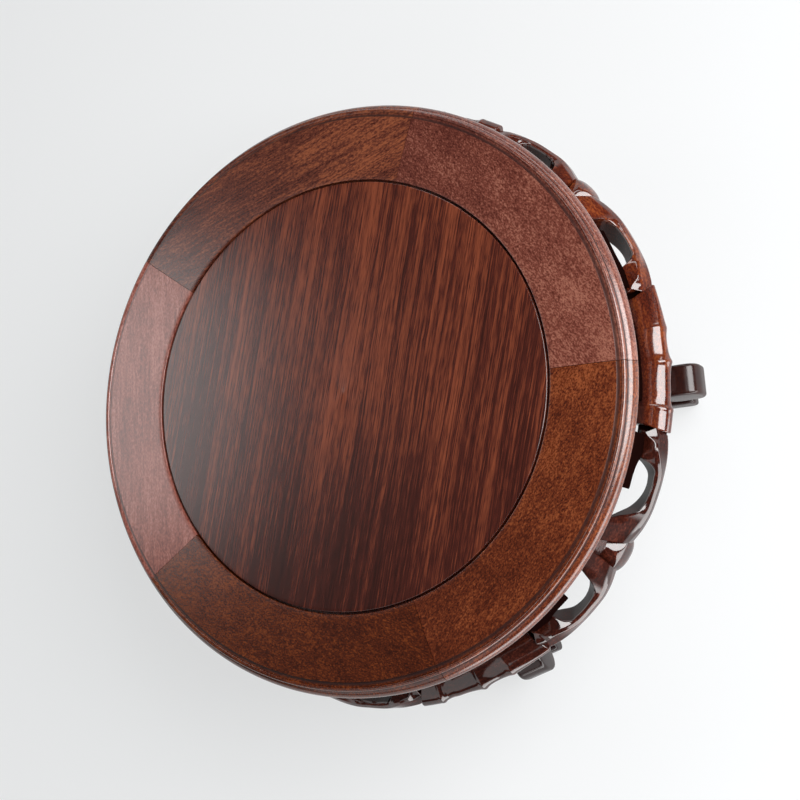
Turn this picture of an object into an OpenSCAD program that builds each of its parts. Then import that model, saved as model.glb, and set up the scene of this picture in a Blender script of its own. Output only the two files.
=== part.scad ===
// Round hardwood stand: a flush panel in a frame of five fellies, on five scroll-footed legs
// whose shoulders are carved as bamboo stalks, with openwork aprons between them.
// The origin is on the floor at the centre of the stand, +Z is up and -Y is towards leg_1.

/* [Overall] */
// Height of the top surface above the floor
stand_h = 120; // [112:1:150]
// Diameter over the rounded rim of the top
rim_d = 250; // [220:1:300]

/* [Top frame] */
// Radial width of the frame round the panel
frame_w = 34; // [32:0.5:44]
// Thickness of the frame
frame_t = 12; // [11:0.5:15]
// Turn of the felly joints from the middles of the legs, in degrees
felly_turn = -2; // [-5:0.5:5]
// Radius of the rounded edge of the rim
edge_r = 4; // [3:0.25:4.25]
// Drop of the rounded edge below the top surface
edge_drop = 2.75; // [1:0.25:3.25]
// Set-back of the fillet under the rounded edge
fillet_in = 2.5; // [1:0.5:5]
// Width of the bead inside the rounded edge
bead_w = 2.2; // [1.4:0.2:3]
// Width of the cove inside the bead
cove_w = 1.3; // [0.8:0.1:2.5]
// Depth of the cove
cove_d = 0.9; // [0.4:0.1:1.3]
// Radial length of a loose spline in a felly joint
spline_l = 10; // [6:0.5:11]
// Width of a loose spline across a felly joint
spline_w = 16; // [10:1:24]
// Thickness of a loose spline
spline_t = 3; // [2:0.5:4]
// Wood left between the panel's groove and a loose spline
spline_gap = 2; // [1:0.5:3]

/* [Panel] */
// Open gap between the panel and the frame
panel_gap = 1; // [0.6:0.1:2.5]
// Thickness of the panel
panel_t = 9; // [8:0.5:11]
// Reach of the panel's tongue past its edge
tongue_l = 5; // [3.5:0.5:7]
// Thickness of the tongue
tongue_t = 4; // [3:0.5:5]
// Height of the tongue above the panel's underside
tongue_up = 1; // [0.5:0.25:1.5]
// Direction of the panel's grain, in degrees from +X
grain_turn = -15; // [-90:1:90]
// Width of the batten under the panel
batten_w = 24; // [16:1:36]
// Height of the batten below the panel
batten_h = 8; // [5:0.5:12]
// Depth of the batten's dovetail in the panel
dovetail_d = 3; // [2:0.5:4]
// Flare of the dovetail on each side
dovetail_flare = 1; // [0.5:0.25:2]
// Set-back of the batten's ends from the panel's edge
batten_in = 2; // [1.5:0.5:12]

/* [Bamboo shoulder] */
// Length of the stalk along the rim
stalk_l = 60; // [50:1:70]
// Half the radial thickness of the stalk
stalk_r = 7.5; // [6.5:0.5:8.5]
// Straight height between the stalk's upper and lower rounds
stalk_rise = 1.5; // [0.5:0.5:4]
// Reach of the stalk past the rim
stalk_out = 4.8; // [4:0.2:6]
// Gap between the frame and the raised stalk joints
stalk_drop = 14.3; // [11:0.1:17]
// Places of the raised stalk joints, along the rim from the leg's middle
ring_at = [-21.5, -1.5, 13.5]; // [-26:0.5:26]
// Height of a raised stalk joint
ring_h = 1.2; // [0.6:0.1:2]
// Width of a raised stalk joint
ring_w = 4.5; // [3:0.5:6]
// Radial thickness of the neck between the stalk and the frame
neck_t = 8; // [7.5:0.5:9]
// Set-back of the neck's middle from the rim
neck_set = 9.5; // [8.5:0.5:11]
// Length of the neck along the rim
neck_l = 36; // [28:1:36]
// Size of the tenon on top of the leg: along the rim, radial, up into the frame
leg_tenon = [16, 7, 7]; // [5:0.5:20]

/* [Leg and foot] */
// Width of the leg along the rim
leg_w = 13.5; // [10:0.5:16]
// Radius of the hollow where the leg spreads below the stalk
spread_r = 14; // [8:0.5:18]
// Rise of the spread into the stalk
spread_lap = 3; // [1:0.5:5]
// Thickness of the leg below the stalk
leg_t_top = 15; // [13:0.5:18]
// Set-back of the leg's outer face from the stalk's widest line
knee_in = 4; // [3:0.5:7]
// Thickness of the leg at the ankle
leg_t_ankle = 11; // [8:0.5:14]
// Set-back of the ankle's middle from the rim
ankle_in = 24; // [16:0.5:32]
// Height of the ankle
ankle_z = 46; // [38:1:52]
// Radius of the scroll
scroll_r = 9; // [6:0.25:10]
// Height of the scroll's middle
scroll_z = 25.5; // [23:0.5:28]
// Set-back of the scroll's outer edge from the rim
scroll_in = -2.5; // [-4:0.5:4]
// Thickness of the sole pad
sole_t = 9.5; // [5:0.5:11]
// Length of the sole pad, measured towards the middle of the stand
sole_l = 20; // [18:0.5:26]
// Set-back of the sole pad's outer end from the scroll's outer edge
sole_in = 9; // [5:0.5:12]

/* [Apron] */
// Reach of the apron past the rim
apron_out = 5.4; // [4:0.2:6]
// Radius of the apron's rounded face
apron_r = 13; // [12:0.5:14]
// Drop from the middle of the stalk to the apron's widest line
apron_drop = 0.25; // [0:0.25:1.5]
// Radial thickness of the apron
apron_t = 9; // [7.5:0.5:11]
// Radial thickness of the strip that joins the apron to the frame
strip_t = 8; // [6:0.5:10]
// Height of that strip
strip_h = 7; // [5:0.5:10]
// Lap of the strip over the apron's inner side
strip_lap = 3; // [2:0.5:4]
// Gap between a stalk's end and the loop beside it
loop_gap = 1.8; // [1:0.2:3.5]
// Height of the flat cut along the lower edge of a loop, above the round face's lowest line
sag_cut = 2; // [1:0.25:4]
// Radius of the sagging lower edge of a loop
sag_r = 60; // [45:1:100]
// Length of a loop's opening
hole_l = 25; // [18:0.5:28]
// Height of a loop's opening below its hooked strand
hole_h = 12.5; // [9:0.5:14]
// Height of the hooked strand above a loop's opening
hook_h = 4.5; // [3:0.5:6]
// Shift of the opening from the loop's middle, away from the leg
hole_shift = 1.5; // [-1:0.5:4]
// Length of the open stretch above the opening, on the bud's side
gate_l = 13; // [9:0.5:16]
// Radius of the bud between two loops
bud_r = 9; // [7:0.5:11]
// Set-back of the bud's rounded face from the apron's
bud_in = 1.2; // [0.6:0.2:3]
// Half the width of the bud left free between the two loops
bud_show = 5; // [3.5:0.5:6.5]
// Width and radial thickness of the stem that joins the bud to the frame
stem = [14, 5]; // [4:0.5:16]
// Radial and vertical size of the tenon at each end of the apron
apron_tenon = [4, 6]; // [3.5:0.5:7]
// Length of that tenon in the stalk
apron_tenon_l = 7; // [4:0.5:9]
// Length of that tenon's root in the loop
apron_root = 5; // [3:0.5:7]

/* [Fits] */
// Clearance in a glued joint
fit = 0.15; // [0.1:0.05:0.3]
// Clearance at the bottom of a groove or mortise
end_fit = 0.5; // [0.3:0.1:1]

/* [Hidden] */
$fn = 96;

legs = 5;
pitch = 360 / legs;
cut = 1;                                   // how far a cutting shape runs past a face
panel_wood = "#5c2a22";
frame_wood = "#84452a";
carved_wood = "#6f3a26";
plain_wood = "#94694a";

// Top frame and panel
rim_r = rim_d / 2;
frame_in = rim_r - frame_w;                // inner radius of the frame
frame_z = stand_h - frame_t;               // underside of the frame
panel_r = frame_in - panel_gap;
tongue_r = panel_r + tongue_l;
groove_r = tongue_r + end_fit;
panel_z = stand_h - panel_t;
tongue_z = panel_z + tongue_up;            // underside of the tongue
batten_half = sqrt(panel_r ^ 2 - (batten_w / 2 + dovetail_flare) ^ 2) - batten_in;
edge_c = rim_r - edge_r;                   // middle of the rounded edge
edge_z = stand_h - edge_drop - edge_r;
bead_r = edge_c - bead_w / 2;
spline_in = groove_r + spline_gap;         // inner end of a spline
spline_z = frame_z + (frame_t - cove_d - spline_t) / 2;

// Bamboo shoulder
stalk_max = rim_r + stalk_out;
stalk_c = stalk_max - stalk_r;
stalk_hi = frame_z - stalk_drop - ring_h - stalk_r;  // middle of the stalk's upper round
stalk_lo = stalk_hi - stalk_rise;
stalk_mid = (stalk_hi + stalk_lo) / 2;
stalk_turn = arc(stalk_l / 2, stalk_max);  // half the stalk's angle
tenon_c = rim_r - neck_set;                // middle of the neck and of the leg's tenon

// Leg and foot
knee = [stalk_max - knee_in - leg_t_top / 2, stalk_mid];
ankle = [rim_r - ankle_in, ankle_z];
scroll_c = rim_r - scroll_in - scroll_r;
toe = [scroll_c, scroll_z];
sole_out = rim_r - scroll_in - sole_in;
heel = [sole_out - sole_l + leg_t_ankle / 2, 0];
spread_z = stalk_lo - stalk_r + spread_lap - spread_r;  // middle of the hollow below the stalk
knee_way = [2, -16];                       // pull on the shaft's curve at the knee
ankle_way = [1, -12];                      // pull below the ankle
toe_way = [-15, 2];                        // pull before the scroll
strap_steps = 8;

// Apron
apron_max = rim_r + apron_out;
apron_c = apron_max - apron_r;
apron_z = stalk_mid - apron_drop;          // height of the widest line of the apron
apron_in = apron_max - apron_t;
strip_out = apron_in + strip_lap;
stem_c = strip_out - strip_t / 2;
bud_turn = pitch / 2;
loop_from = stalk_turn + arc(loop_gap, apron_max);
loop_to = bud_turn - arc(bud_show, apron_max);
loop_turn = (loop_from + loop_to) / 2;     // middle of a loop, from the leg's middle
loop_half = apron_max * sin((loop_to - loop_from) / 2);
hole_z = frame_z - hook_h - hole_h / 2;
tenon_from = loop_from + arc(apron_root, apron_max);  // where the end tenon starts, from the leg's middle
tenon_r = apron_in + (apron_t - apron_tenon.x) / 2;
tenon_z = apron_z - apron_tenon.y / 2;
tenon_turn = arc(apron_tenon_l, tenon_r);

// Angle, in degrees, of an arc of the given length
function arc(length, radius) = length / radius * 180 / PI;

// Direction of a leg and of the felly joint beside it
function leg_at(i) = -90 + pitch * (i - 1);
function joint_at(i) = leg_at(i) + felly_turn;

// Point at t on a cubic curve with the four given points, and the direction there
function on_curve(p, t) =
    (1 - t) ^ 3 * p[0] + 3 * (1 - t) ^ 2 * t * p[1] + 3 * (1 - t) * t ^ 2 * p[2] + t ^ 3 * p[3];
function along(p, t) =
    (1 - t) ^ 2 * (p[1] - p[0]) + 2 * (1 - t) * t * (p[2] - p[1]) + t ^ 2 * (p[3] - p[2]);
function side(p, t) =
    let (d = along(p, t))
    [-d.y, d.x] / norm(d);

// Turn a profile of radius and height by the angles from a0 to a1
module sweep(a0, a1) {
    rotate(a0)
        rotate_extrude(angle = a1 - a0)
            children();
}

// Extrude a drawing of width and height outwards from the middle of the stand
module outwards(from, to) {
    translate([from, 0, 0])
        rotate([90, 0, 90])
            linear_extrude(height = to - from)
                children();
}

// Extrude a drawing of radius and height along the rim
module across(width) {
    rotate([90, 0, 0])
        linear_extrude(height = width, center = true)
            children();
}

// Rectangle from one corner to the other
module area(low, high) {
    translate(low)
        square(high - low);
}

// Panel and batten

// Half the dovetail's width at a height above the panel's underside
function dovetail_half(z) = batten_w / 2 + dovetail_flare * z / dovetail_d;

module dovetail(room) {
    low = -cut;
    high = dovetail_d + room;
    polygon([
        [-dovetail_half(low) - room, low],
        [dovetail_half(low) + room, low],
        [dovetail_half(high) + room, high],
        [-dovetail_half(high) - room, high]
    ]);
}

module panel() {
    color(panel_wood)
        difference() {
            rotate_extrude() {
                area([0, panel_z], [panel_r, stand_h]);
                area([0, tongue_z], [tongue_r, tongue_z + tongue_t]);
            }
            rotate(grain_turn)
                translate([0, 0, panel_z])
                    across(2 * (tongue_r + cut))
                        dovetail(fit);
        }
}

module batten() {
    color(plain_wood)
        rotate(grain_turn)
            translate([0, 0, panel_z])
                across(2 * batten_half)
                    polygon([
                        [-batten_w / 2, -batten_h],
                        [batten_w / 2, -batten_h],
                        [batten_w / 2, 0],
                        [dovetail_half(dovetail_d), dovetail_d],
                        [-dovetail_half(dovetail_d), dovetail_d],
                        [-batten_w / 2, 0]
                    ]);
}

// Moulded frame

module frame_profile() {
    difference() {
        union() {
            area([frame_in, frame_z], [edge_c, stand_h]);
            area([edge_c, frame_z], [rim_r - fillet_in, edge_z]);
            translate([edge_c, edge_z])
                circle(edge_r);
        }
        area([edge_c - bead_w - cove_w, stand_h - cove_d], [edge_c + cut, stand_h + cut]);
        area([frame_in - cut, tongue_z - fit], [groove_r, tongue_z + tongue_t + fit]);
    }
    intersection() {
        translate([bead_r, stand_h - bead_w / 2])
            circle(bead_w / 2);
        area([bead_r - bead_w, frame_z], [bead_r + bead_w, stand_h]);
    }
    area([bead_r - bead_w / 2, stand_h - bead_w], [bead_r + bead_w / 2, stand_h - bead_w / 2]);
}

module leg_tenon_block(room, top) {
    translate([tenon_c, 0, frame_z - cut])
        translate([-leg_tenon.y / 2 - room, -leg_tenon.x / 2 - room, 0])
            cube([leg_tenon.y + 2 * room, leg_tenon.x + 2 * room, top + cut]);
}

module spline_block(room, end_room) {
    translate([spline_in - end_room, -spline_w / 2 - end_room, spline_z - room])
        cube([spline_l + 2 * end_room, spline_w + 2 * end_room, spline_t + 2 * room]);
}

module felly(i) {
    color(frame_wood)
        difference() {
            sweep(joint_at(i), joint_at(i) + pitch)
                frame_profile();
            for (k = [i, i + 1]) {
                rotate(leg_at(k))
                    leg_tenon_block(fit, leg_tenon.z + end_fit);
                rotate(joint_at(k))
                    spline_block(fit, end_fit);
            }
        }
}

module spline(i) {
    color(plain_wood)
        rotate(joint_at(i))
            spline_block(0, 0);
}

// Legs

module stalk_profile(grow) {
    for (z = [stalk_lo, stalk_hi])
        translate([stalk_c, z])
            circle(stalk_r + grow);
    area([stalk_c - stalk_r - grow, stalk_lo], [stalk_max + grow, stalk_hi]);
}

module stalk() {
    sweep(-stalk_turn, stalk_turn)
        stalk_profile(0);
    for (at = ring_at, step = [1, 2]) {
        turn = arc(at, stalk_max);
        half = arc(ring_w / 2 / step, stalk_max);
        sweep(turn - half, turn + half)
            stalk_profile(ring_h * step / 2);
    }
}

// Flat band along a cubic curve, as thick as given at its two ends
module strap(curve, start_t, end_t) {
    steps = [for (k = [0:strap_steps]) k / strap_steps];
    function half(t) = (start_t + (end_t - start_t) * t) / 2;
    polygon(concat(
        [for (t = steps) on_curve(curve, t) + side(curve, t) * half(t)],
        [for (k = [strap_steps:-1:0]) let (t = steps[k]) on_curve(curve, t) - side(curve, t) * half(t)]
    ));
}

// The leg from the side: shaft, scroll, heel and sole
module shaft_profile() {
    strap([knee, knee + knee_way, ankle - 2 * ankle_way, ankle], leg_t_top, leg_t_ankle);
    strap([ankle, ankle + ankle_way, toe + toe_way, toe], leg_t_ankle, leg_t_ankle);
    strap([ankle, ankle + ankle_way, heel + [0, scroll_z], heel], leg_t_ankle, leg_t_ankle);
}

module foot_profile() {
    translate(toe)
        circle(scroll_r);
    area([sole_out - sole_l, 0], [sole_out - sole_t / 2, sole_t]);
    translate([sole_out - sole_t / 2, sole_t / 2])
        intersection() {
            circle(sole_t / 2);
            area([0, -sole_t], [sole_t, sole_t]);
        }
}

// The leg from the front: it spreads in two hollows below the stalk
module leg_front() {
    spread_w = leg_w / 2 + spread_r;
    difference() {
        area([-spread_w, -cut], [spread_w, stalk_mid]);
        for (way = [-1, 1])
            translate([way * spread_w, spread_z]) {
                circle(spread_r);
                area([-spread_r, -stand_h], [spread_r, 0]);
            }
    }
}

module leg(i) {
    neck_from = tenon_c - neck_t / 2;
    color(carved_wood)
        rotate(leg_at(i))
            difference() {
                union() {
                    stalk();
                    sweep(-arc(neck_l / 2, stalk_max), arc(neck_l / 2, stalk_max))
                        area([neck_from, stalk_mid], [neck_from + neck_t, frame_z]);
                    leg_tenon_block(0, leg_tenon.z);
                    intersection() {
                        across(leg_w + 2 * spread_r) {
                            shaft_profile();
                            foot_profile();
                        }
                        outwards(0, stalk_max)
                            leg_front();
                    }
                }
                for (way = [0, 1])
                    mirror([0, way, 0])
                        sweep(loop_from - arc(loop_gap, apron_max) - tenon_turn - arc(end_fit, tenon_r), loop_from)
                            area(
                                [tenon_r - fit, tenon_z - fit],
                                [tenon_r + apron_tenon.x + fit, tenon_z + apron_tenon.y + fit]
                            );
            }
}

// Aprons

module apron_profile() {
    intersection() {
        translate([apron_c, apron_z])
            circle(apron_r);
        area([apron_in, apron_z - apron_r], [apron_max + cut, apron_z + apron_r]);
    }
    area([strip_out - strip_t, frame_z - strip_h], [strip_out, frame_z]);
    area([apron_in, apron_z], [strip_out, frame_z]);
}

module loop_outline() {
    low = apron_z - apron_r + sag_cut;
    difference() {
        intersection() {
            area([-loop_half, low], [loop_half, frame_z]);
            translate([0, low + sag_r])
                circle(sag_r);
        }
        translate([hole_shift, hole_z])
            hole_outline();
        area(
            [hole_shift + hole_l / 2 - gate_l, hole_z],
            [hole_shift + hole_l / 2, frame_z + cut]
        );
    }
}

module hole_outline() {
    end = (hole_l - hole_h) / 2;
    for (x = [-end, end])
        translate([x, 0])
            circle(hole_h / 2);
    area([-end, -hole_h / 2], [end, hole_h / 2]);
}

module half_apron() {
    rotate(-bud_turn) {
        intersection() {
            sweep(loop_from, bud_turn)
                apron_profile();
            rotate(loop_turn)
                outwards(apron_in / 2, apron_max + cut)
                    loop_outline();
        }
        sweep(stalk_turn - tenon_turn, tenon_from)
            area([tenon_r, tenon_z], [tenon_r + apron_tenon.x, tenon_z + apron_tenon.y]);
    }
}

module apron(i) {
    color(carved_wood)
        rotate(leg_at(i) + bud_turn) {
            half_apron();
            mirror([0, 1, 0])
                half_apron();
            intersection() {
                outwards(apron_in, apron_max)
                    translate([0, apron_z])
                        circle(bud_r);
                sweep(-bud_turn / 2, bud_turn / 2)
                    translate([apron_c, apron_z])
                        circle(apron_r - bud_in);
            }
            sweep(-arc(stem.x / 2, stem_c), arc(stem.x / 2, stem_c))
                area([stem_c - stem.y / 2, apron_z], [stem_c + stem.y / 2, frame_z - end_fit]);
        }
}

panel();
batten();
felly(1);  // felly_1
felly(2);  // felly_2
felly(3);  // felly_3
felly(4);  // felly_4
felly(5);  // felly_5
spline(1);  // spline_1
spline(2);  // spline_2
spline(3);  // spline_3
spline(4);  // spline_4
spline(5);  // spline_5
leg(1);  // leg_1
leg(2);  // leg_2
leg(3);  // leg_3
leg(4);  // leg_4
leg(5);  // leg_5
apron(1);  // apron_1
apron(2);  // apron_2
apron(3);  // apron_3
apron(4);  // apron_4
apron(5);  // apron_5
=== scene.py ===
import math

import bmesh
import bpy
import numpy as np
from mathutils import Matrix, Vector


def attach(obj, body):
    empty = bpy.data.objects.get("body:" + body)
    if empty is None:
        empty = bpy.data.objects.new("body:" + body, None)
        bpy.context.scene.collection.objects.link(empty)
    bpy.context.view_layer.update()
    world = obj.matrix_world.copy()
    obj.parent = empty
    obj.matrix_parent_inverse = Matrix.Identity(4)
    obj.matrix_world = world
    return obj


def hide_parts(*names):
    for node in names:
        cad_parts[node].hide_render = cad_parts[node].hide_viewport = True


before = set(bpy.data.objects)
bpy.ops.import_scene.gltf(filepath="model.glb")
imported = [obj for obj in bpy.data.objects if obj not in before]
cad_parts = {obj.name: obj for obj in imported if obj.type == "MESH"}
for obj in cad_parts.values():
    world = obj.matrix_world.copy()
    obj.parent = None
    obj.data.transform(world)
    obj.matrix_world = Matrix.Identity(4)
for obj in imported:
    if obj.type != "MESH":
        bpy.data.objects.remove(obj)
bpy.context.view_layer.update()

# Sizes in millimetres, in the frame of the solids: floor centre, +Z up, leg_1 towards -Y.
# Angles are in degrees from +X.
MM = 0.001
PITCH = 72.0
TOP_Z = 120.0
RIM_R = 125.0

# Frame and panel
FRAME_Z = 107.98
FRAME_IN = 91.0
JOINT_TURN = -2.0
JOINT_GAP = 0.05
PANEL_R = 90.0
PANEL_Z = 111.0
PANEL_ARRIS = 0.3
TONGUE_R = 95.0
TONGUE_Z = (112.0, 116.0)
GRAIN_TURN = -15.0

# Legs: points in the plane of radius and height, and half sizes
STALK_R = 129.8
STALK_HALF = 27.2
STALK_JOINTS = (-20.0, -1.5, 12.6)
KNEE = (118.3, 84.25)
ANKLE = (101.0, 46.0)
HEEL = (104.0, 2.0)
TOE = (118.5, 25.5)
LEG_HALF = 6.75
KNEE_HALF = 7.5
ANKLE_HALF = 5.5
SPREAD_R = 14.0
SPREAD_Z = 65.0
SCROLL_HALF = (9.0, 9.0)
SOLE_C = (108.5, 4.75)
SOLE_HALF = (10.0, 4.75)

# Aprons: angles from the middle of the leg beside the loop
LOOP_FROM = 13.3
LOOP_MIDDLE = 24.0
LOOP_TO = 33.9
HOOK_FROM, HOOK_TO = 14.4, 24.5
STUB_FROM, STUB_TO = 10.0, 15.5
BUD_MEET = 33.2
BUD_TURN = 36.0
BUD_SHIFTS = (0.7, 0.0, 0.0, 0.0, -0.7)

# Finish of a surface: polish, dark stain and how far the varnish has gone dull. Low polish
# paints the wood dark: BARE_SHADE is painted near-black shade in recesses, left bare, and
# SHADED_WALL is painted shade on the walls of the openings, under a thinner varnish. The stain
# also carries painted shade under the frame and in the moulding's grooves.
POLISHED, BARE_SHADE, STAINED = (1.0, 0.0, 0.0), (0.0, 0.0, 0.0), (0.6, 0.8, 0.0)
SHADED_WALL = (0.45, 0.0, 0.45)

# Steps through the wood's pattern from piece to piece, so that no two pieces look the same.
FELLY_STEP, LEG_STEP, APRON_STEP = 211.0, 97.0, 61.0


def leg_at(i):
    """Direction of leg i, in degrees from +X."""
    return -90 + PITCH * (i - 1)


# Shapes


def ease(x, low, high):
    """0 below low and 1 above high, with a cubic that starts and ends level between them."""
    t = np.clip((x - low) / (high - low), 0, 1)
    return t * t * (3 - 2 * t)


def flow(x, knots, values):
    """Smooth curve through the knots: a cubic on each stretch, with the slope of the neighbouring
    chords at its ends."""
    k, v = np.asarray(knots, float), np.asarray(values, float)
    slope = np.gradient(v, k)
    i = np.clip(np.searchsorted(k, x) - 1, 0, len(k) - 2)
    h = k[i + 1] - k[i]
    t = np.clip((x - k[i]) / h, 0, 1)
    return (
        (1 + 2 * t) * (1 - t) ** 2 * v[i]
        + t * (1 - t) ** 2 * h * slope[i]
        + t * t * (3 - 2 * t) * v[i + 1]
        + t * t * (t - 1) * h * slope[i + 1]
    )


def polar(radius, degrees, height):
    """Points at these radii, angles from +X and heights."""
    a = np.radians(degrees)
    return np.stack(np.broadcast_arrays(radius * np.cos(a), radius * np.sin(a), height), -1)


def turned(points, degrees):
    """The points turned about the stand's axis."""
    c, s = math.cos(math.radians(degrees)), math.sin(math.radians(degrees))
    return points @ np.array([[c, s, 0], [-s, c, 0], [0, 0, 1]])


def squarish(power, count):
    """Round section between a circle and a square: the cosine and sine of an angle, each raised to
    2/power with its sign kept."""
    a = (np.arange(count) + 0.5) * 2 * np.pi / count
    c, s = np.cos(a), np.sin(a)
    return np.sign(c) * np.abs(c) ** (2 / power), np.sign(s) * np.abs(s) ** (2 / power)


def arc(middle, radius, start, end, count):
    """Points of radius and height on a circle between two angles in degrees."""
    a = np.radians(np.linspace(start, end, count))
    return np.stack([middle[0] + radius * np.cos(a), middle[1] + radius * np.sin(a)], -1)


def evenly(line, count):
    """A closed line of points, taken again at so many equal steps of its length."""
    line = np.concatenate([line, line[:1]])
    steps = np.linalg.norm(np.diff(line, axis=0), axis=1)
    length = np.concatenate([[0], np.cumsum(steps)])
    at = np.arange(count) / count * length[-1]
    return np.stack([np.interp(at, length, line[:, k]) for k in range(line.shape[1])], -1)


def skin(rings, flat_ends=False):
    """Closed shell over rings of points: quads from ring to ring, and each end closed by one face
    or by a fan to its middle."""
    n, m = rings.shape[:2]
    row = np.arange(n - 1)[:, None] * m
    here = np.arange(m)[None, :]
    after = (here + 1) % m
    quads = np.stack([row + here, row + after, row + after + m, row + here + m], -1)
    faces = [quads.reshape(-1, 4)]
    points = rings.reshape(-1, 3)
    last = (n - 1) * m
    if flat_ends:
        faces.append(np.concatenate([here[:, ::-1], here + last]))
    else:
        points = np.concatenate([points, rings[[0, -1]].mean(1)])
        hub = np.full(m, n * m)
        faces.append(np.stack([after[0], here[0], hub], -1))
        faces.append(np.stack([here[0] + last, after[0] + last, hub + 1], -1))
    return points, faces


def round_off(rings, radius, steps=5):
    """The rings with rounded ends: past each end come rings drawn in towards its middle and pushed
    on, round a quarter circle."""
    turn = np.linspace(0, np.pi / 2, steps)[1:, None, None]
    ends = []
    for end, inner in ((0, 1), (-1, -2)):
        ring = rings[end]
        middle = ring.mean(0)
        way = middle - rings[inner].mean(0)
        way = way / np.linalg.norm(way)
        spoke = ring - middle
        spoke = spoke / np.linalg.norm(spoke, axis=-1, keepdims=True)
        ends.append(ring - spoke * radius * (1 - np.cos(turn)) + way * radius * np.sin(turn))
    return np.concatenate([ends[0][::-1], rings, ends[1]])


def outline_rings(corners, per_side, softness):
    """Rings from corner points, given as an array of ring, corner and coordinate: straight sides
    between the corners, softened by averaging each point with its two neighbours so many times."""
    after = np.roll(corners, -1, axis=1)
    t = (np.arange(per_side) / per_side)[None, None, :, None]
    rings = corners[:, :, None] * (1 - t) + after[:, :, None] * t
    rings = rings.reshape(len(corners), -1, corners.shape[-1])
    for _ in range(softness):
        rings = (np.roll(rings, 1, 1) + 2 * rings + np.roll(rings, -1, 1)) / 4
    return rings


def bezier(p, t):
    """Point and direction at t on a cubic curve with four control points of radius and height."""
    p, t = np.asarray(p, float), np.asarray(t, float)[:, None]
    s = 1 - t
    at = s**3 * p[0] + 3 * s**2 * t * p[1] + 3 * s * t**2 * p[2] + t**3 * p[3]
    way = s**2 * (p[1] - p[0]) + 2 * s * t * (p[2] - p[1]) + t**2 * (p[3] - p[2])
    return at, way / np.linalg.norm(way, axis=1, keepdims=True)


def limb(at, way, half_w, half_t, power, count):
    """Limb in the plane of radius and height: a squarish section, as wide and thick as given,
    carried square to a path."""
    c, s = squarish(power, count)
    side = np.stack([-way[:, 1], way[:, 0]], -1)
    out = at[:, None] + side[:, None] * (half_t[:, None] * s[None])[..., None]
    return np.stack([out[..., 0], half_w[:, None] * c[None], out[..., 1]], -1)


def along_rim(points):
    """Grain coordinates of wood that runs along the rim: arc length, radius and height."""
    radius = np.hypot(points[:, 0], points[:, 1])
    return np.stack([np.arctan2(points[:, 1], points[:, 0]) * RIM_R, radius, points[:, 2]], -1)


def down_leg(points):
    """Grain coordinates of wood that runs down the leg: height, breadth and depth."""
    return points[:, [2, 1, 0]]


def shade_under_rim(points, finish_and_shade):
    """The finish with painted shade, a dark standing in for the frame's shadow, where wood lies
    under the frame's overhang: all of it inside the covered radius, none beyond the clear one."""
    covered, clear, painted_shade = 118, 123, 0.85
    shaded = np.array(np.broadcast_to(finish_and_shade, points.shape))
    radius = np.hypot(points[:, 0], points[:, 1])
    shaded[:, 1] = np.maximum(shaded[:, 1], painted_shade * (1 - ease(radius, covered, clear)))
    return shaded


def make_piece(name, shells, turn, shift, material):
    """One mesh from closed shells of points, faces, grain and finish, turned into place, riding on
    the stand and standing for its node. The grain coordinates, in millimetres along, across and
    through the wood, become the attribute grain. The finish, which is how polished, stained and
    dull each point is, and how far it is painted dark as shade, becomes the attribute finish.
    Edges sharper than the arris angle stay crisp."""
    arris = math.radians(38)
    points, faces, grain, finish_and_shade, start = [], [], [], [], 0
    for shell_points, shell_faces, shell_grain, shell_finish_and_shade in shells:
        points.append(shell_points)
        grain.append(shell_grain + shift)
        finish_and_shade.append(np.broadcast_to(shell_finish_and_shade, shell_points.shape))
        faces += [row for block in shell_faces for row in (block + start).tolist()]
        start += len(shell_points)
    mesh = bpy.data.meshes.new(name)
    mesh.from_pydata((turned(np.concatenate(points), turn) * MM).tolist(), [], faces)
    bm = bmesh.new()
    bm.from_mesh(mesh)
    bmesh.ops.recalc_face_normals(bm, faces=bm.faces)
    bm.to_mesh(mesh)
    bm.free()
    mesh.shade_smooth()
    mesh.set_sharp_from_angle(angle=arris)
    for key, values in (("grain", grain), ("finish_and_shade", finish_and_shade)):
        field = mesh.attributes.new(key, "FLOAT_VECTOR", "POINT")
        field.data.foreach_set("vector", np.concatenate(values).astype(np.float32).ravel())
    obj = bpy.data.objects.new(name + "_carved", mesh)
    bpy.context.scene.collection.objects.link(obj)
    mesh.materials.append(material)
    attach(obj, "root")
    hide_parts(name)


# Panel and frame


def panel_shell():
    """Panel: a profile of radius and height turned about the axis. It runs from the middle of the
    top over a small arris, down to the tongue and back under. The top is hollow by a few
    hundredths of a millimetre, in slow waves."""
    edge, corner = PANEL_R - PANEL_ARRIS, TONGUE_R - PANEL_ARRIS
    low, high = TONGUE_Z
    hub, hollow_d, wave = 1.0, 0.03, 23
    top = np.stack([np.linspace(hub, edge, 60), np.full(60, TOP_Z)], -1)
    arris = arc((edge, TOP_Z - PANEL_ARRIS), PANEL_ARRIS, 78, 0, 6)
    tongue = [
        (PANEL_R, high), (corner, high), (TONGUE_R, high - PANEL_ARRIS),
        (TONGUE_R, low + PANEL_ARRIS), (corner, low), (PANEL_R, low),
    ]
    under = [(PANEL_R, PANEL_Z + PANEL_ARRIS), (edge, PANEL_Z), (hub, PANEL_Z)]
    r, z = np.concatenate([top, arris, tongue, under])[:, :, None].transpose(1, 0, 2)
    a = np.arange(360.0)
    hollow = hollow_d * (1 + np.sin(r / wave + np.radians(a) * 2))
    height = z - np.where(z > TOP_Z - 0.1, hollow, 0)
    points, faces = skin(polar(r, a[None], height))
    return points, faces, turned(points, -GRAIN_TURN), POLISHED


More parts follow.
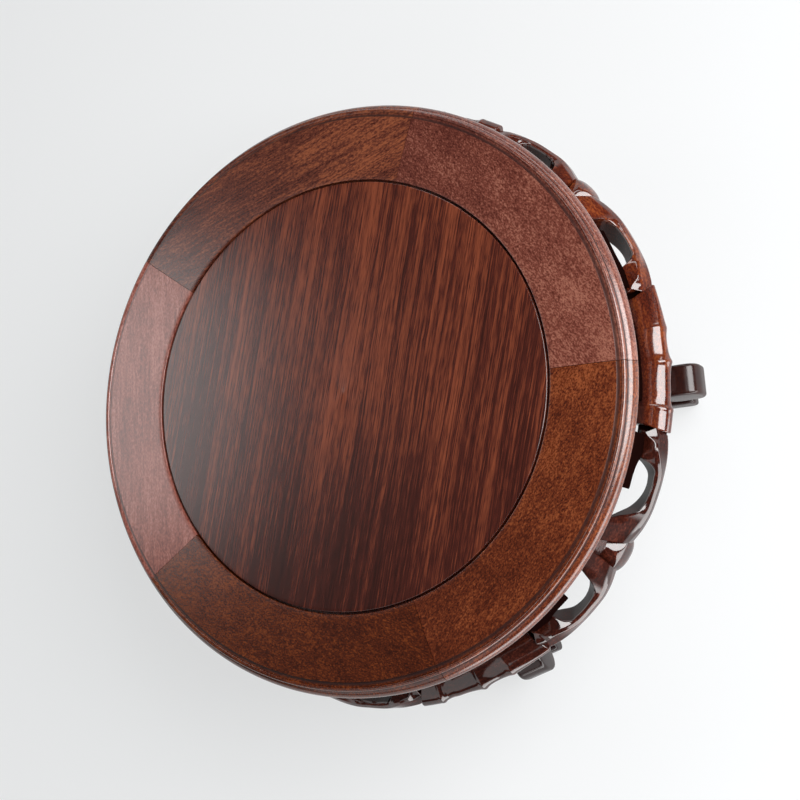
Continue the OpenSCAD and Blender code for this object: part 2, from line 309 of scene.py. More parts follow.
def felly_profile():
    """Moulded section of the frame as a closed line of radius and height: small inner arris, flat,
    quirk, bead, fillet, half-round edge, recess below it and underside, and the groove for the
    panel's tongue."""
    arris = 0.35
    parts = [
        arc((FRAME_IN + arris, TOP_Z - arris), arris, 180, 90, 6),
        np.stack([np.linspace(93, 118.1, 22), np.full(22, TOP_Z)], -1),
        [(118.14, 118.95), (118.9, 118.93), (119.66, 118.9)],
        arc((120.8, 118.4), 1.1, 152, 8, 20),
        [(121.89, 118.3), (121.89, 118.0), (121.89, 117.5), (121.9, 117.0)],
        arc((121.0, 113.3), 3.75, 76, -70, 36),
        [(122.4, 109.4), (122.4, 108.4), (122.1, 108.0), (108.0, 108.0)],
        [(91.4, 108.0), (FRAME_IN, 108.4)],
        [(FRAME_IN, 111.85), (95.5, 111.85), (95.5, 116.15), (FRAME_IN, 116.15)],
    ]
    return np.concatenate([np.asarray(p, float) for p in parts])


def felly_shell(i):
    """Felly: the moulded section carried along its arc, a hair short at both ends so that the
    joints show as fine lines. The quirk and the valley between the bead and the half-round edge
    are painted dark, a painted shade for the shadow in these grooves."""
    r, z = felly_profile().T
    quirk = (r > 118.12) & (r < 119.2) & (z > 118) & (z < 119)
    valley = (r > 121.85) & (r < 122) & (z > 116.9) & (z < 118.4)
    painted_shade = np.where(quirk, 0.75, np.where(valley, 0.9, 0.0))
    groove_shade = np.stack([np.ones_like(r), painted_shade, np.zeros_like(r)], -1)
    start = leg_at(i) + JOINT_TURN
    a = np.linspace(JOINT_GAP, PITCH - JOINT_GAP, 121)[:, None]
    points, faces = skin(polar(r[None], start + a, z[None]), flat_ends=True)
    board = turned(points, -(start + PITCH / 2))
    return points, faces, board[:, [1, 0, 2]], np.tile(groove_shade, (len(a), 1))


# Legs, drawn with their middle on +X


def stalk_shell():
    """Bamboo stalk along the rim. Its section is a nearly flat top on a wide arc, a tighter arc, a
    small outer corner, an undercut face and a level bottom. A smooth curve along the stalk swells
    it towards the joints, most at the outer side, each joint has a fine ridge and groove, and the
    top dips towards one end. The ends are cut aslant, furthest at the outer side."""
    section = np.concatenate(
        [
            arc((119.37, 71.06), 20.0, 101, 73, 14),
            arc((123.04, 82.38), 8.1, 72, 45, 16),
            arc((127.0, 86.2), 2.6, 44, -32, 22),
            [(128.2, 83.2), (126.9, 80.9), (125.3, 78.6), (123.6, 77.2)],
            [(121.5, 76.6), (118.5, 76.6), (116.2, 76.8)],
            [(115.3, 77.4), (115.0, 79.0), (115.0, 88.5), (115.2, 89.9)],
        ]
    )
    r, z = evenly(section, 120).T
    x = np.linspace(-STALK_HALF, STALK_HALF, 441)
    swell = flow(
        x,
        [-28, -21.2, -20.0, -18.8, -13, -7, -3.2, -1.4, 0.6, 5.5, 10.0, 12.6, 14.4, 20, 28],
        [0.95, 1.15, 1.2, 0.5, 0.0, 0.1, 0.7, 1.2, 0.5, 0.0, 0.4, 1.0, 0.85, 0.7, 0.85],
    )
    off = x[:, None] - np.array(STALK_JOINTS)
    ridge = 0.10 * np.exp(-((off / 0.7) ** 2))
    groove = 0.12 * np.exp(-(((off - 1.1) / 0.5) ** 2))
    fine = ((ridge - groove) * (0.6, 0.25, 0.15)).sum(1)
    dip = 1.5 * ease(x, 13, 29)
    outer, upper, lower = ease(r, 117, 127.5), ease(z, 86, 90.5), 1 - ease(z, 76.6, 81)
    radius = r + (swell + fine)[:, None] * outer
    height = z + swell[:, None] * (0.4 * upper - 0.5 * lower) + (fine - dip)[:, None] * upper
    aslant = 3.3 * ease(x, 16, STALK_HALF) - 2.5 * ease(-x, 16, STALK_HALF)
    lean = ease(r, 119, 129.5)[None] * aslant[:, None]
    rings = polar(radius, np.degrees((x[:, None] + lean) / STALK_R), height)
    points, faces = skin(round_off(rings, 0.6, 4))
    # Under the frame the stalk is painted dark as shade.
    return points, faces, along_rim(points), shade_under_rim(points, POLISHED)


def neck_shell():
    """Neck between the stalk and the frame: a squarish section carried along the rim, painted
    near black as the shade under the frame.
    """
    middle, half_t, base, half_turn = 115.5, 4, 96, 7.6
    c, s = squarish(7, 56)
    a = np.linspace(-half_turn, half_turn, 41)[:, None]
    rings = polar(middle + half_t * c[None], a, base + (FRAME_Z - base) * s[None])
    points, faces = skin(round_off(rings, 0.6, 3))
    return points, faces, along_rim(points), BARE_SHADE


def shaft_shell():
    """Shaft from the stalk through the ankle to the heel: thinner towards the ankle, and spreading
    under the stalk in a hollow of a quarter circle on each side. Its stain fades in downwards."""
    t = np.linspace(0, 1, 70)
    upper, up_way = bezier([KNEE, (120.3, 68.25), (99.0, 70.0), ANKLE], t)
    lower, low_way = bezier([ANKLE, (102.0, 34.0), (104.0, 25.5), HEEL], t[1:])
    at, way = np.concatenate([upper, lower]), np.concatenate([up_way, low_way])
    rise = np.clip(at[:, 1] - SPREAD_Z, 0, SPREAD_R - 0.1)
    half_w = LEG_HALF + SPREAD_R - np.sqrt(SPREAD_R**2 - rise**2)
    taper = KNEE_HALF + (ANKLE_HALF - KNEE_HALF) * t
    half_t = np.concatenate([taper, np.full(len(lower), ANKLE_HALF)])
    points, faces = skin(limb(at, way, half_w, half_t, 3.6, 80))
    low = 1 - ease(points[:, 2:], 40, 66)
    finish_and_shade = np.array(POLISHED) * (1 - low) + np.array(STAINED) * low
    return points, faces, down_leg(points), finish_and_shade


def toe_shell():
    """Toe from the ankle to the scroll: a squarish section that thickens until it meets the
    scroll's round."""
    t = np.linspace(0, 1, 60)
    at, way = bezier([ANKLE, (102.0, 34.0), (TOE[0] - 15, TOE[1] + 2), TOE], t)
    half_t = ANKLE_HALF + 3.3 * ease(t, 0.2, 1.0)
    points, faces = skin(limb(at, way, LEG_HALF + 0.1 * t, half_t, 6, 80))
    return points, faces, down_leg(points), STAINED


def foot_shell(middle, half, power, count, reach, arris, steps):
    """Scroll or sole pad: a squarish outline of radius and height, stacked along the rim's
    direction as far as the reach on both sides, with softened arrises."""
    c, s = squarish(power, count)
    r, z = middle[0] + half[0] * c[None], middle[1] + half[1] * s[None]
    y = np.linspace(-reach, reach, 15)[:, None]
    rings = np.stack(np.broadcast_arrays(r, y, z), -1)
    points, faces = skin(round_off(rings, arris, steps))
    return points, faces, down_leg(points), STAINED


# Aprons, each half drawn by its angle from the middle of the leg beside it


def band_rings(u, end, per_side):
    """Strand of a loop: seven corners of radius and height at each angle u, each corner moving on
    a smooth curve. Corner 0 is the edge of the opening or of the flat top, 1 the ridge, 2 the foot
    of the bevel below the ridge, 3 the widest line, 4 and 5 the bottom and 6 the inner side. By
    the leg the top is a flat with a bevelled tip, along the opening the wall slopes down and
    inwards, and by the bud the end climbs to the frame and is cut aslant."""
    sag = 3.5 * ((u - LOOP_MIDDLE) / 10) ** 2
    ridge = [LOOP_FROM, 14.6, 15.4, 16.6, 18.4, 20.4, 24.6, 28.4, 31.0, LOOP_TO]
    edge = [
        LOOP_FROM, 16.6, 18.0, 18.7, 19.3, 20.2, 21.6, 25.0,
        27.0, 28.4, 29.1, 29.9, 30.7, 31.8, LOOP_TO,
    ]
    inner = [
        LOOP_FROM, 18.0, 18.8, 19.6, 20.5, 22.5, 25.0,
        27.0, 28.4, 29.4, 30.2, 31.6, LOOP_TO,
    ]
    edge_r = [
        120.8, 119.8, 120.4, 122.5, 125.6, 127.6, 127.9, 127.9,
        127.3, 126.3, 125.0, 122.3, 120.8, 120.0, 119.6,
    ]
    edge_z = [
        92.6, 92.0, 92.0, 91.5, 90.2, 88.6, 87.9, 87.8,
        88.1, 90.0, 91.8, 94.6, 98.0, 102.0, 103.6,
    ]
    inner_r = [
        119.2, 118.8, 118.9, 119.3, 120.3, 121.4, 121.0,
        119.7, 118.8, 118.6, 118.7, 118.8, 118.6,
    ]
    inner_z = [
        91.0, 90.5, 86.0, 79.5, 76.0, 74.8, 74.8,
        76.2, 80.0, 87.0, 93.0, 101.0, 103.2,
    ]
    r = [
        flow(u, edge, edge_r),
        flow(u, ridge, [122.4, 124.6, 126.4, 126.9, 127.9, 128.9, 129.2, 129.1, 128.6, 127.4]),
        flow(u, ridge, [126.2, 127.6, 127.9, 128.3, 129.4, 130.2, 130.3, 130.2, 129.4, 128.0]),
        flow(u, ridge, [129.2, 129.6, 129.8, 130.1, 130.35, 130.38, 130.38, 130.2, 129.5, 128.1]),
        flow(u, ridge, [127.0, 127.0, 127.0, 127.1, 127.2, 127.2, 127.2, 127.1, 126.8, 126.0]),
        np.full_like(u, 122.4),
        flow(u, inner, inner_r),
    ]
    z = [
        flow(u, edge, edge_z),
        flow(u, ridge, [92.7, 92.4, 91.8, 91.5, 90.3, 87.8, 86.9, 87.1, 88.0, 89.8]),
        flow(u, ridge, [90.8, 89.6, 90.2, 90.4, 89.0, 86.4, 85.5, 85.7, 86.6, 88.2]),
        83.0 + 0.3 * sag,
        75.4 + sag,
        73.6 + sag,
        flow(u, inner, inner_z),
    ]
    aslant = np.array([1.6, 0.2, 0.0, 0.0, 0.3, 0.9, 1.6]) * ease(u, 31, LOOP_TO)[:, None]
    tip = np.array([0.3, 0.6, -0.5, 0.5, 0.7, 0.7, 0.3]) * (1 - ease(u, LOOP_FROM, 15.2))[:, None]
    cut = (end - LOOP_TO) * ease(u, LOOP_MIDDLE, LOOP_TO)[:, None]
    corners = np.stack([np.stack(r, 1), u[:, None] + aslant + tip + cut, np.stack(z, 1)], -1)
    return outline_rings(corners, per_side, 2)


def hook_rings(u):
    """Hooked strand under the frame: four corners at each angle u, deep at the leg's side and thin
    at its free end."""
    by = [HOOK_FROM, 16.5, 18.4, 19.8, 21.6, 24.6]
    low = flow(u, by, [90.5, 90.8, 93.5, 99.0, 102.4, 103.4])
    top = np.full_like(u, FRAME_Z)
    r = [
        flow(u, by, [121.8, 122.0, 122.6, 123.2, 123.6, 124.0]),
        flow(u, by, [122.2, 122.4, 123.0, 123.8, 124.4, 124.8]),
        np.full_like(u, 118.6),
        np.full_like(u, 118.2),
    ]
    z = [top, low, low + 0.3, top]
    corners = np.stack([np.stack(r, 1), np.repeat(u[:, None], 4, 1), np.stack(z, 1)], -1)
    return outline_rings(corners, 12, 2)


def stub_rings(u):
    """Tenon and web between the loop and the stalk's end: a squarish section carried along the
    rim."""
    c, s = squarish(6, 40)
    r, z = 122.4 + 5.4 * c[None], 84 + 3.6 * s[None]
    return np.stack(np.broadcast_arrays(r, u[:, None], z), -1)


def band_finish_and_shade(u, per_side, caps):
    """Finish of a loop's strand, side by side round its seven corners: the wall of the opening is
    painted darker as shade, under a thinner varnish, and the top by the bud and the bevel by the
    leg are dull. The rounded ends take the finish of the first and last ring, so many times, and
    the two end points are painted near black as shade."""
    sides = np.tile(POLISHED, (len(u), 7, per_side, 1))
    sides[:, 6] = SHADED_WALL
    sides[:, 0, :, 2] = 0.95 * ease(u, 28, 30)[:, None]
    sides[:, 2, :, 2] = 0.7 * (1 - ease(u, 16, 20))[:, None]
    rings = sides.reshape(len(u), -1, 3)
    rings = np.pad(rings, ((caps, caps), (0, 0), (0, 0)), "edge")
    return np.concatenate([rings.reshape(-1, 3), [BARE_SHADE, BARE_SHADE]])


def strand_shells(way, end):
    """The strands of one half apron, as angles from the leg beside it; way is 1 after the leg and
    -1 before the next, and end is the angle at which the loop meets the bud. The hook and the web
    are painted near black, a painted shade for the dark under the frame, and left bare."""
    per_side, steps = 10, 5
    u = np.linspace(LOOP_FROM, LOOP_TO, 280)
    shells = []
    for rings, rounding, finish_and_shade in (
        (band_rings(u, end, per_side), 0.4, band_finish_and_shade(u, per_side, steps - 1)),
        (hook_rings(np.linspace(HOOK_FROM, HOOK_TO, 100)), 0.4, BARE_SHADE),
        (stub_rings(np.linspace(STUB_FROM, STUB_TO, 12)), 0.3, BARE_SHADE),
    ):
        placed = polar(rings[..., 0], way * (rings[..., 1] - BUD_TURN), rings[..., 2])
        points, faces = skin(round_off(placed, rounding, steps))
        # Under the frame the strands are painted dark as shade.
        shells.append((points, faces, along_rim(points), shade_under_rim(points, finish_and_shade)))
    return shells


def bud_shell(shift):
    """Bud: rounded sections of breadth and radius stacked in height, a full round under a thin
    stem, shifted along the rim. A flat is pared off each shoulder: points beyond its plane are
    moved back to it along its normal."""
    inner, pared = 117.6, 1.2
    z = np.linspace(74.6, 107.9, 110)
    by = [74.6, 76.5, 80.5, 85.0, 88.5, 91.0, 92.8, 96.0, 107.9]
    half_w = flow(z, by, [2.5, 6.0, 8.6, 9.2, 8.6, 7.2, 5.4, 4.6, 4.6])
    outer = flow(z, by, [125.0, 127.2, 129.0, 129.0, 127.8, 125.4, 122.4, 121.4, 121.2])
    c, s = squarish(2.3, 80)
    radius = (outer + inner)[:, None] / 2 + (outer - inner)[:, None] / 2 * c
    rings = np.stack(np.broadcast_arrays(radius, half_w[:, None] * s, z[:, None]), -1)
    points, faces = skin(round_off(rings, 0.8, 5))
    for side in (-1, 1):
        normal = np.array([0.476, 0.345 * side, 0.809])
        reach = points @ normal
        body = reach[points[:, 2] < 93].max()
        beyond = np.clip(reach - body + pared, 0, None) * (points[:, 2] < 93.5)
        points = points - beyond[:, None] * normal
    points = turned(points, shift)
    # Under the frame the bud's stem is painted dark as shade.
    return points, faces, down_leg(points), shade_under_rim(points, POLISHED)


# Materials

MATHS, VECTOR_MATHS, NOISE = "ShaderNodeMath", "ShaderNodeVectorMath", "ShaderNodeTexNoise"


def linear(code):
    """Linear colour of an sRGB hex value."""
    c = np.array([int(code[k : k + 2], 16) for k in (1, 3, 5)]) / 255
    c = np.where(c <= 0.04045, c / 12.92, ((c + 0.055) / 1.055) ** 2.4)
    return (*c.tolist(), 1.0)


def add(tree, kind, inputs=None, **settings):
    """Adds a node: settings are its properties, and an input is a value or the socket that feeds
    it."""
    made = tree.nodes.new(kind)
    for key, value in settings.items():
        setattr(made, key, value)
    for key, value in (inputs or {}).items():
        if isinstance(value, bpy.types.NodeSocket):
            tree.links.new(value, made.inputs[key])
        else:
            made.inputs[key].default_value = value
    return made


def grain_place(tree, source, sway):
    """Place in the wood in millimetres along, across and through the grain, with the grain
    wandering by sway. source is the attribute that holds the place, or the angle in degrees at
    which the grain lies in the object's own coordinates."""
    if source == "grain":
        place = add(tree, "ShaderNodeAttribute", attribute_name=source).outputs["Vector"]
    else:
        spot = add(tree, "ShaderNodeTexCoord").outputs["Object"]
        turn, scale = (0, 0, math.radians(-source)), (1 / MM, 1 / MM, 1 / MM)
        inputs = {"Vector": spot, "Scale": scale, "Rotation": turn}
        place = add(tree, "ShaderNodeMapping", inputs).outputs["Vector"]
    slow = (1 / 90, 1 / 40, 1 / 40)
    wander = add(tree, VECTOR_MATHS, {0: place, 1: slow}, operation="MULTIPLY").outputs[0]
    wander = add(tree, NOISE, {"Vector": wander, "Scale": 1.0, "Detail": 1.0}).outputs["Color"]
    half = (0.5, 0.5, 0.5)
    wander = add(tree, VECTOR_MATHS, {0: wander, 1: half}, operation="SUBTRACT").outputs[0]
    inputs = {0: wander, 1: (0, sway, sway), 2: place}
    return add(tree, VECTOR_MATHS, inputs, operation="MULTIPLY_ADD").outputs[0]


def streaks(tree, place, along, across, detail):
    """Noise stretched along the grain, of this length and width in millimetres."""
    scale = (1 / along, 1 / across, 1 / across)
    scaled = add(tree, VECTOR_MATHS, {0: place, 1: scale}, operation="MULTIPLY").outputs[0]
    return add(tree, NOISE, {"Vector": scaled, "Scale": 1.0, "Detail": detail}).outputs["Fac"]


def tone_level(tree, place, painted_falloff, faded):
    """How light the wood is before its figure, with 0.5 in the middle of its tones: drift paints
    it lighter or darker along the grain, a painted falloff of the light, and it rises towards a
    faded middle."""
    level = 0.5
    if painted_falloff:
        start, per_70_mm = painted_falloff
        along = add(tree, "ShaderNodeSeparateXYZ", {0: place}).outputs["X"]
        along = add(tree, MATHS, {0: along, 1: start}, operation="SUBTRACT").outputs[0]
        inputs = {0: along, 1: per_70_mm / 70, 2: level}
        level = add(tree, MATHS, inputs, operation="MULTIPLY_ADD").outputs[0]
    if faded:
        radius, lighter = faded
        spot = add(tree, "ShaderNodeTexCoord").outputs["Object"]
        spot = add(tree, VECTOR_MATHS, {0: spot, 1: (1, 1, 0)}, operation="MULTIPLY").outputs[0]
        reach = add(tree, VECTOR_MATHS, {0: spot}, operation="LENGTH").outputs["Value"]
        ends = {"From Min": 0.0, "From Max": radius * MM, "To Min": lighter, "To Max": 0.0}
        rise = add(
            tree, "ShaderNodeMapRange", {"Value": reach, **ends}, interpolation_type="SMOOTHSTEP"
        ).outputs[0]
        level = add(tree, MATHS, {0: level, 1: rise}, operation="ADD").outputs[0]
    return level


def blended(tree, factor, first, second):
    """Colour between two colours."""
    inputs = {"Factor": factor, 6: first, 7: second}
    return add(tree, "ShaderNodeMix", inputs, data_type="RGBA").outputs[2]


def varnished_wood(
    name, tones, figure, pores, gloss, relief=0.3, source="grain", sway=4.0,
    by_finish_and_shade=False, faded=None, painted_falloff=None,
):
    """Varnished hardwood between three tones, with a fourth in its pores. figure lists the noises
    that mix them: length along the grain and width across it in millimetres, weight and detail.
    pores gives length and width of the short dark pores, in millimetres, and how dark they are.
    gloss is the coat's weight, roughness and index, and the wood's own roughness. relief is the
    strength of the bump, source and sway place the grain, faded is the radius of a paler middle
    and how much lighter it is, and drift is the place along the grain from which the wood is
    painted lighter, and by how much in 70 mm, a painted falloff of the light. Wood made
    by_finish_and_shade
    follows the finish attribute: stain darkens it and roughens its coat, and carries painted shade
    as well as real stain; wood with no polish is painted near black as shade and left bare; and
    dull wood has less coat."""
    mat = bpy.data.materials.new(name)
    mat.use_nodes = True
    tree = mat.node_tree
    tree.nodes.clear()
    place = grain_place(tree, source, sway)
    level = tone_level(tree, place, painted_falloff, faded)
    for along, across, weight, detail in figure:
        fine = streaks(tree, place, along, across, detail)
        centred = add(tree, MATHS, {0: fine, 1: 0.5}, operation="SUBTRACT").outputs[0]
        inputs = {0: centred, 1: weight, 2: level}
        level = add(tree, MATHS, inputs, operation="MULTIPLY_ADD").outputs[0]
    dark, middle, light, pore_tone = (linear(tone) for tone in tones)
    ramp = add(tree, "ShaderNodeValToRGB", {"Fac": level})
    stops = ramp.color_ramp.elements
    stops[0].position, stops[0].color = 0.3, dark
    stops[1].position, stops[1].color = 0.72, light
    stops.new(0.5).color = middle
    pore_l, pore_w, pore_dark = pores
    pore = streaks(tree, place, pore_l, pore_w, 1.0)
    ends = {"From Min": 0.58, "From Max": 0.72, "To Min": 0.0, "To Max": pore_dark}
    hole = add(tree, "ShaderNodeMapRange", {"Value": pore, **ends}).outputs[0]
    colour = blended(tree, hole, ramp.outputs["Color"], pore_tone)
    coat, coat_rough, coat_index, wood_rough = gloss
    if by_finish_and_shade:
        # The stain carries painted shade as well as real stain, and low polish paints the wood
        # near black as shade.
        finish_and_shade = add(tree, "ShaderNodeAttribute", attribute_name="finish_and_shade").outputs["Vector"]
        finish_and_shade = add(tree, "ShaderNodeSeparateXYZ", {0: finish_and_shade}).outputs
        polish_and_shade, stain_and_shade, dull = finish_and_shade["X"], finish_and_shade["Y"], finish_and_shade["Z"]
        colour = blended(tree, stain_and_shade, colour, linear("#22100f"))
        colour = blended(tree, polish_and_shade, linear("#120605"), colour)
        shine = add(tree, MATHS, {0: 1.0, 1: dull}, operation="SUBTRACT").outputs[0]
        coat = add(tree, MATHS, {0: polish_and_shade, 1: shine}, operation="MULTIPLY").outputs[0]
        inputs = {0: stain_and_shade, 1: 0.13, 2: coat_rough}
        coat_rough = add(tree, MATHS, inputs, operation="MULTIPLY_ADD").outputs[0]
    height = add(tree, MATHS, {0: hole, 1: -1.0, 2: fine}, operation="MULTIPLY_ADD").outputs[0]
    pore_depth = 0.06 * MM
    bump = add(
        tree, "ShaderNodeBump", {"Height": height, "Strength": relief, "Distance": pore_depth}
    )
    shader = add(
        tree,
        "ShaderNodeBsdfPrincipled",
        {
            "Base Color": colour,
            "Roughness": wood_rough,
            "IOR": 1.5,
            "Specular IOR Level": 0.0,
            "Coat Weight": coat,
            "Coat Roughness": coat_rough,
            "Coat IOR": coat_index,
            "Normal": bump.outputs["Normal"],
        },
    )
    add(tree, "ShaderNodeOutputMaterial", {"Surface": shader.outputs[0]})
    return mat


# Tones are dark, middle and light wood and the pores.
# The panel is straight-grained rosewood, red-brown with fine dark and orange lines and a paler
# middle, under a satin varnish; its hair-lines are drawn 0.6 mm wide so that they show. It is
# painted a little lighter along the grain, a painted falloff of the light.
panel_rosewood = varnished_wood(
    "rosewood_panel_satin_varnish",
    ("#2a0c06", "#461a11", "#7c3d26", "#220a06"),
    figure=(
        (260, 14, 0.25, 1.0), (160, 2.6, 0.35, 1.0), (70, 0.6, 0.5, 1.0), (8, 0.6, 0.45, 1.0)
    ),
    pores=(4.0, 0.35, 0.5),
    gloss=(1.0, 0.24, 1.7, 0.5),
    sway=2.0,
    faded=(75, 0.11),
    painted_falloff=(0, 0.06),
)
# The frame is a redder hardwood with a fine-grained mottle, drawn about 1 mm wide so that it
# shows, with painted shade in the grooves of its moulding. Each felly is a board of its own: its
# tones, its figure, and how much lighter or darker it is painted along the grain, a painted
# falloff of the light across the frame.
speckled = ((16, 9, 0.3, 1.0), (2.4, 1.1, 0.35, 1.0), (0.85, 0.6, 0.72, 1.0))
streaked = ((40, 9, 0.35, 1.0), (12, 1.2, 0.5, 1.0), (1.2, 0.6, 0.7, 1.0))
felly_boards = (
    (("#4a2018", "#6c382c", "#96604f", "#36130c"), speckled, -0.08),
    (("#3e180f", "#5c2d20", "#8a4c30", "#2c0e08"), streaked, -0.09),
    # The third board's tones are paler, partly a different board and partly a painted sheen for
    # the haze of light on that side.
    (("#622e24", "#864638", "#a4685c", "#43190f"), streaked, 0.0),
    (("#320e02", "#4f1e08", "#783a16", "#200802"), speckled, -0.06),
    (("#3c1304", "#5c2610", "#8a4826", "#260a03"), speckled, 0.06),
)
felly_woods = [
    varnished_wood(
        f"mottled_hardwood_felly_{i}",
        tones,
        figure,
        pores=(1.4, 0.5, 0.4),
        gloss=(1.0, 0.22, 1.75, 0.5),
        relief=0.2,
        by_finish_and_shade=True,
        painted_falloff=(FELLY_STEP * i, lighter),
    )
    for i, (tones, figure, lighter) in enumerate(felly_boards, 1)
]
# The carved legs and aprons are the same hardwood under a glossier varnish; their recesses are
# painted near black as shade and left bare, and the feet carry a dark stain. Away from the first
# leg the wood is painted darker, a shaded copy of the same wood standing for the light falling
# off.
carved_wood, shaded_carved_wood = [
    varnished_wood(
        name,
        tones,
        figure=((30, 8, 0.5, 1.0), (5, 1.3, 0.35, 1.0), (1.0, 0.7, 0.5, 1.0)),
        pores=(1.6, 0.5, 0.3),
        gloss=(1.0, 0.1, 1.75, 0.5),
        relief=0.12,
        by_finish_and_shade=True,
    )
    for name, tones in (
        ("carved_hardwood_gloss_varnish", ("#34110a", "#542012", "#83411f", "#1e0804")),
        ("carved_hardwood_shaded_varnish", ("#1c0805", "#32120b", "#54261a", "#140503")),
    )
]
# The hidden batten and splines are plain sawn wood under a thin stain, matt to the eye.
inner_wood = varnished_wood(
    "stained_batten_wood",
    ("#5a3a24", "#7a5236", "#94694a", "#3c2414"),
    figure=((90, 5, 0.7, 2.0), (20, 1.2, 0.6, 1.0)),
    pores=(5.0, 0.5, 0.5),
    gloss=(0.0, 0.3, 1.5, 0.6),
    source=90 + GRAIN_TURN,
)

# The object

make_piece("panel", [panel_shell()], 0, 0, panel_rosewood)
for i, felly_wood in enumerate(felly_woods, 1):
    make_piece(f"felly_{i}", [felly_shell(i)], 0, FELLY_STEP * i, felly_wood)
leg_shells = [
    stalk_shell(),
    neck_shell(),
    shaft_shell(),
    toe_shell(),
    foot_shell(TOE, SCROLL_HALF, 2.9, 120, reach=LEG_HALF - 1.4, arris=1.5, steps=7),
    foot_shell(SOLE_C, SOLE_HALF, 5, 96, reach=LEG_HALF - 1.05, arris=1.2, steps=6),
]
for i, shift in enumerate(BUD_SHIFTS, 1):
    apron_shells = [
        *strand_shells(1, BUD_MEET + shift),
        *strand_shells(-1, BUD_MEET - shift),
        bud_shell(shift),
    ]
    # Legs 4 and 5 and aprons 3 to 5, away from the light, take the painted-shade copy.
    leg_wood = shaded_carved_wood if i in (4, 5) else carved_wood
    apron_wood = carved_wood if i in (1, 2) else shaded_carved_wood
    apron_turn = leg_at(i) + BUD_TURN
    make_piece(f"leg_{i}", leg_shells, leg_at(i), LEG_STEP * i, leg_wood)
    make_piece(f"apron_{i}", apron_shells, apron_turn, APRON_STEP * i, apron_wood)
for name in ["batten", *(f"spline_{i}" for i in range(1, 6))]:
    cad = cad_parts[name]
    cad.data.materials.clear()
    cad.data.materials.append(inner_wood)

# Floor, light and camera, in metres


def paper_sweep():
    """Floor and low backdrop in one: a profile of radius and height turned about the axis. It is
    level out to the floor's radius and then curves up a quarter circle to a low wall, and lies a
    hair below the soles."""
    floor_r, curve_r, wall_z, hair = 4.0, 0.3, 0.7, 0.0002
    turn = np.radians(np.linspace(0, 90, 13))[1:]
    level = np.linspace(0.0005, floor_r, 60)
    radius = np.concatenate([level, floor_r + curve_r * np.sin(turn), [floor_r + curve_r]])
    height = np.concatenate([np.zeros(60), curve_r * (1 - np.cos(turn)), [wall_z]]) - hair
    around = np.arange(96)[None] * 3.75
    points, faces = skin(polar(radius[:, None], around, height[:, None]), flat_ends=True)
    mesh = bpy.data.meshes.new("paper_sweep")
    mesh.from_pydata(points.tolist(), [], faces[0].tolist())
    mesh.shade_smooth()
    sweep = bpy.data.objects.new("paper_sweep", mesh)
    bpy.context.scene.collection.objects.link(sweep)
    return sweep


def white_paper():
    """White paper: a matt sheet that takes the shadow, kept near white to the eye and in
    reflections by a share of plain white, which grows from near the stand to far off."""
    mat = bpy.data.materials.new("white_matt_paper")
    mat.use_nodes = True
    tree = mat.node_tree
    tree.nodes.clear()
    path = add(tree, "ShaderNodeLightPath").outputs
    seen = path["Is Camera Ray"]
    for ray in ("Is Glossy Ray", "Is Transmission Ray"):
        seen = add(tree, MATHS, {0: seen, 1: path[ray]}, operation="MAXIMUM").outputs[0]
    spot = add(tree, "ShaderNodeTexCoord").outputs["Object"]
    reach = add(tree, VECTOR_MATHS, {0: spot}, operation="LENGTH").outputs["Value"]
    ends = {"From Min": 0.4, "From Max": 1.4, "To Min": 0.6, "To Max": 0.85}
    glow = add(
        tree, "ShaderNodeMapRange", {"Value": reach, **ends}, interpolation_type="SMOOTHSTEP"
    ).outputs[0]
    share = add(tree, MATHS, {0: seen, 1: glow}, operation="MULTIPLY").outputs[0]
    sheet = add(tree, "ShaderNodeBsdfDiffuse", {"Color": linear("#e0e2e4")}).outputs[0]
    plain = {"Color": linear("#fdfefe"), "Strength": 1.0}
    white = add(tree, "ShaderNodeEmission", plain).outputs[0]
    blend = add(tree, "ShaderNodeMixShader", {0: share, 1: sheet, 2: white}).outputs[0]
    add(tree, "ShaderNodeOutputMaterial", {"Surface": blend})
    return mat


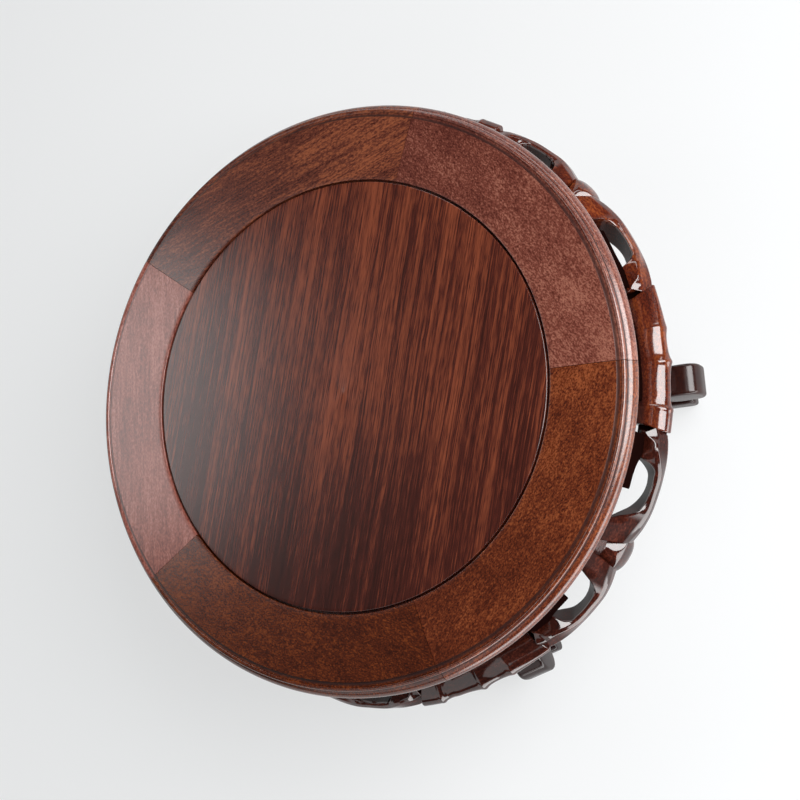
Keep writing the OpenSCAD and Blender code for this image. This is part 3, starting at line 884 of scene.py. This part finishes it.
def softbox(name, turn, rise, far, size, radiance):
    """Rectangular soft light at a direction and height angle in degrees and a distance in metres
    from the top's middle, facing it, as bright as the given radiance over its face."""
    target = Vector((0, 0, TOP_Z * MM))
    a, e = math.radians(turn), math.radians(rise)
    way = Vector((math.cos(e) * math.cos(a), math.cos(e) * math.sin(a), math.sin(e)))
    lamp = bpy.data.lights.new(name, "AREA")
    lamp.shape = "RECTANGLE"
    lamp.size, lamp.size_y = size
    lamp.energy = radiance * math.pi * size[0] * size[1]
    obj = bpy.data.objects.new(name, lamp)
    obj.location = target + way * far
    obj.rotation_euler = (-way).to_track_quat("-Z", "Y").to_euler()
    obj.visible_camera = False
    bpy.context.scene.collection.objects.link(obj)


paper_sweep().data.materials.append(white_paper())

world = bpy.data.worlds.new("studio")
bpy.context.scene.world = world
world.use_nodes = True
world.node_tree.nodes.clear()
dim_white = {"Color": linear("#dfe3e8"), "Strength": 0.05}
room = add(world.node_tree, "ShaderNodeBackground", dim_white)
add(world.node_tree, "ShaderNodeOutputWorld", {"Surface": room.outputs[0]})

# The key stands over leg_1 and gives the bright bands on its stalk. The far box hazes the far side
# of the top, the low one lights the aprons from the floor's height, the side one fills, and the
# narrow one draws fine lines along the moulding.
softbox("key_softbox", 276.5, 42, 0.75, (0.54, 0.55), 8.6)
softbox("far_softbox", 73.5, 46.5, 0.95, (0.3, 0.25), 3.1)
softbox("low_softbox", 222, -2, 0.5, (0.85, 0.2), 4.2)
softbox("side_softbox", 160, 40, 1.1, (0.8, 0.8), 0.8)
softbox("rim_softbox", 342, 27, 1.0, (1.0, 0.15), 3.5)

# The camera looks at a point of the top, turned from -Y, raised and rolled as in the photo.
AIM = Vector((-6.427, -25.796, TOP_Z)) * MM
DISTANCE = 0.62
TURN, RISE, ROLL = math.radians(-22.31), math.radians(62.85), math.radians(-74.17)
level = math.cos(RISE)
back = Vector((math.sin(TURN) * level, -math.cos(TURN) * level, math.sin(RISE)))
right = Vector((math.cos(TURN), math.sin(TURN), 0))
up = back.cross(right)
across = math.cos(ROLL) * right + math.sin(ROLL) * up
upright = -math.sin(ROLL) * right + math.cos(ROLL) * up
lens = bpy.data.cameras.new("camera")
lens.sensor_width = 36.0
lens.lens = 68.47
lens.clip_start, lens.clip_end = 0.01, 20
camera = bpy.data.objects.new("camera", lens)
bpy.context.scene.collection.objects.link(camera)
facing = Matrix((across, upright, back)).transposed().to_4x4()
camera.matrix_world = Matrix.Translation(AIM + back * DISTANCE) @ facing
bpy.context.scene.camera = camera
bpy.context.scene.view_settings.view_transform = "Standard"
